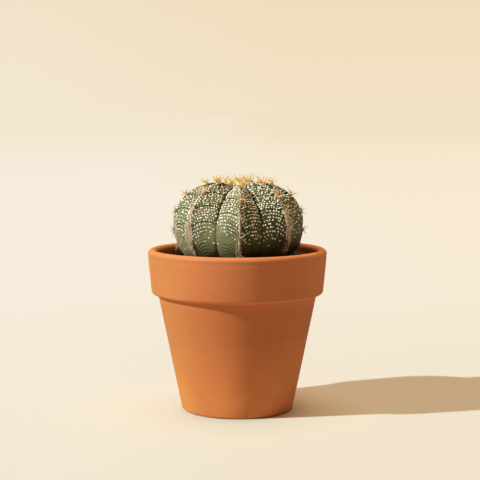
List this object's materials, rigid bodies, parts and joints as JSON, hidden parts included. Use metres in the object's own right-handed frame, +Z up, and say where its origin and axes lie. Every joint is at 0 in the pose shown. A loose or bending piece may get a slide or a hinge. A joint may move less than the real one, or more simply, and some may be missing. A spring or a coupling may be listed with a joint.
{
  "type": "potted round cactus",
  "caption": "Round ribbed star cactus with spine clusters, growing in soil in a plain tapered clay pot with a deep collar and a drainage hole.",
  "frame": {"origin": "centre of the pot's flat foot, on the surface it stands on", "axes": "+Z up through the pot and the plant; -Y is the front, which one rib faces"},
  "size_m": [0.108, 0.108, 0.1436],
  "materials": {
    "clay": "matte",
    "potting_mix": "matte",
    "cactus_skin": "matte",
    "crown_wool": "matte",
    "grit": "matte",
    "young_spines": "satin",
    "old_spines": "satin"
  },
  "bodies": {
    "root": {"terracotta_pot": "clay", "drainage_shard": "clay", "potting_soil": "potting_mix", "cactus_stem": "cactus_skin", "crown_wool": "crown_wool", "grit_a": "grit", "grit_b": "grit", "grit_c": "grit", "grit_d": "grit", "grit_e": "grit", "areole_1_1": "young_spines", "areole_1_2": "young_spines", "areole_1_3": "old_spines", "areole_1_4": "old_spines", "areole_1_5": "old_spines", "areole_1_6": "old_spines", "areole_2_1": "young_spines", "areole_2_2": "young_spines", "areole_2_3": "old_spines", "areole_2_4": "old_spines", "areole_2_5": "old_spines", "areole_2_6": "old_spines", "areole_3_1": "young_spines", "areole_3_2": "young_spines", "areole_3_3": "old_spines", "areole_3_4": "old_spines", "areole_3_5": "old_spines", "areole_3_6": "old_spines", "areole_4_1": "young_spines", "areole_4_2": "young_spines", "areole_4_3": "old_spines", "areole_4_4": "old_spines", "areole_4_5": "old_spines", "areole_4_6": "old_spines", "areole_5_1": "young_spines", "areole_5_2": "young_spines", "areole_5_3": "old_spines", "areole_5_4": "old_spines", "areole_5_5": "old_spines", "areole_5_6": "old_spines", "areole_6_1": "young_spines", "areole_6_2": "young_spines", "areole_6_3": "old_spines", "areole_6_4": "old_spines", "areole_6_5": "old_spines", "areole_6_6": "old_spines", "areole_7_1": "young_spines", "areole_7_2": "young_spines", "areole_7_3": "old_spines", "areole_7_4": "old_spines", "areole_7_5": "old_spines", "areole_7_6": "old_spines", "areole_8_1": "young_spines", "areole_8_2": "young_spines", "areole_8_3": "old_spines", "areole_8_4": "old_spines", "areole_8_5": "old_spines", "areole_8_6": "old_spines"}
  },
  "joints": []
}
